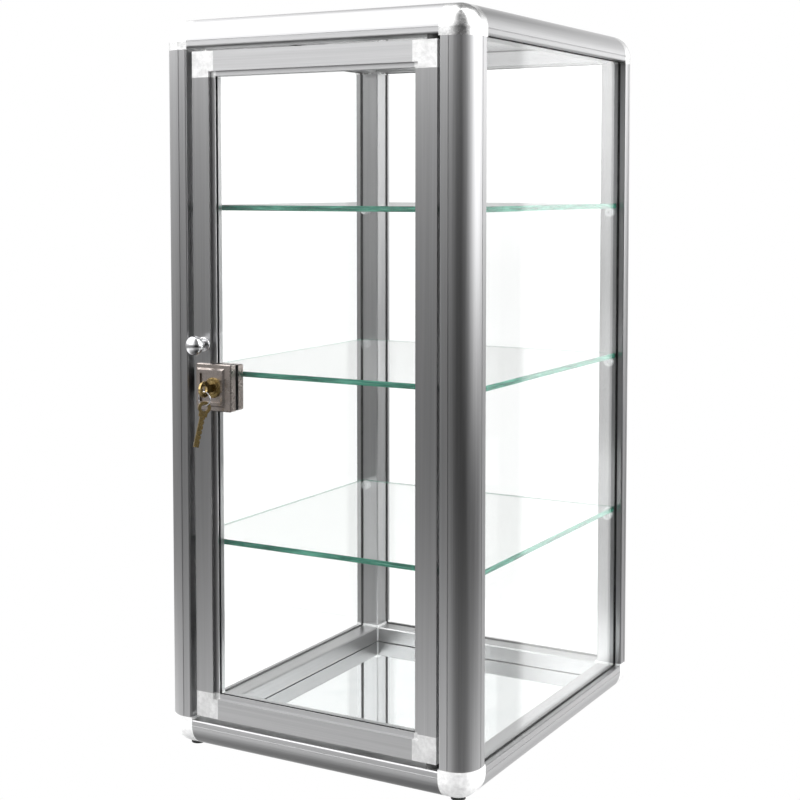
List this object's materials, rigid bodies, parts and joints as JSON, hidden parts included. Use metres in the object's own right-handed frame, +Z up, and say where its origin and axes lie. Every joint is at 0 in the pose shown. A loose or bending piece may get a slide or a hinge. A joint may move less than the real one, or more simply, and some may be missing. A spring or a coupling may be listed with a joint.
{
  "type": "glass display showcase",
  "caption": "Countertop glass display case with a satin aluminium frame, mirror floor, loose glass shelves and a swinging glass door with a knob and a key lock.",
  "frame": {"origin": "On the surface that the case stands on, under the middle of the whole part's outline with the knob and keys, 10 mm in front of the middle of the case itself.", "axes": "+Z is up. The door is in the front, which faces -Y. +X is the case's right side as seen from the front, where the door is hinged."},
  "size_m": [0.325, 0.4036, 0.688],
  "materials": {
    "satin_aluminium": "satin anodised, fine lengthwise draw lines",
    "cast_corners": "bright, slightly mottled casting",
    "mirror": "silvered glass",
    "shelf_glass": "clear with polished green edges",
    "clear_glass": "clear float glass",
    "clear_plastic": "clear moulded",
    "black_rubber": "matt",
    "board": "hardboard, smooth face",
    "chrome": "polished",
    "ring_steel": "nickelled wire",
    "lock_nickel": "semi-bright nickel with a warm tint",
    "lock_brass": "worn brass",
    "nylon": "dark moulded",
    "zinc_steel": "zinc plated"
  },
  "bodies": {
    "case": {"bottom_front_left_corner": "cast_corners", "bottom_front_rail": "satin_aluminium", "bottom_front_right_corner": "cast_corners", "bottom_left_rail": "satin_aluminium", "bottom_rear_left_corner": "cast_corners", "bottom_rear_rail": "satin_aluminium", "bottom_rear_right_corner": "cast_corners", "bottom_right_rail": "satin_aluminium", "floor_backing_board": "board", "floor_mirror": "mirror", "foot_screws": "zinc_steel", "front_left_post": "satin_aluminium", "front_right_post": "satin_aluminium", "glazing_gaskets": "black_rubber", "left_glass": "clear_glass", "lock_strike": "zinc_steel", "lower_shelf": "shelf_glass", "lower_shelf_pegs": "clear_plastic", "middle_shelf": "shelf_glass", "middle_shelf_pegs": "clear_plastic", "peg_screws": "zinc_steel", "pivot_bushes": "nylon", "rear_glass": "clear_glass", "rear_left_post": "satin_aluminium", "rear_right_post": "satin_aluminium", "right_glass": "clear_glass", "rubber_feet": "black_rubber", "top_front_left_corner": "cast_corners", "top_front_rail": "satin_aluminium", "top_front_right_corner": "cast_corners", "top_glass": "clear_glass", "top_left_rail": "satin_aluminium", "top_rear_left_corner": "cast_corners", "top_rear_rail": "satin_aluminium", "top_rear_right_corner": "cast_corners", "top_right_rail": "satin_aluminium", "upper_shelf": "shelf_glass", "upper_shelf_pegs": "clear_plastic"},
    "door": {"door_bottom_rail": "satin_aluminium", "door_corner_castings": "cast_corners", "door_gasket": "black_rubber", "door_glass": "clear_glass", "door_knob": "chrome", "door_left_stile": "satin_aluminium", "door_right_stile": "satin_aluminium", "door_top_rail": "satin_aluminium", "knob_screw": "zinc_steel", "lock_cylinder": "lock_brass", "lock_front_housing": "lock_nickel", "lock_rear_housing": "lock_nickel", "lock_rubber_pads": "black_rubber", "pivot_pins": "zinc_steel"},
    "lock_core": {"lock_plug": "lock_brass", "lock_cam": "zinc_steel", "cam_screw": "zinc_steel"},
    "key": {"key": "lock_brass"},
    "key_ring": {"key_ring": "ring_steel", "spare_key": "lock_brass"}
  },
  "joints": [
    {"name": "door_swing", "type": "hinge", "parent": "case", "child": "door", "pos_m": [0.1222, -0.172, 0.345], "axis": [0, 0, 1], "range_deg": [0, 105]},
    {"name": "lock_turn", "type": "hinge", "parent": "door", "child": "lock_core", "pos_m": [-0.1045, -0.177, 0.347], "axis": [0, -1, 0], "range_deg": [0, 90]},
    {"name": "key_slide", "type": "slide", "parent": "lock_core", "child": "key", "axis": [0, -1, 0], "range_m": [0, 0.028]},
    {"name": "ring_hang", "type": "hinge", "parent": "key", "child": "key_ring", "pos_m": [-0.1045, -0.1938, 0.3415], "axis": [0, -1, 0], "range_deg": [-90, 0]}
  ],
  "couplings": [
    {"joint": "ring_hang", "follows": "lock_turn", "ratio": -1}
  ]
}
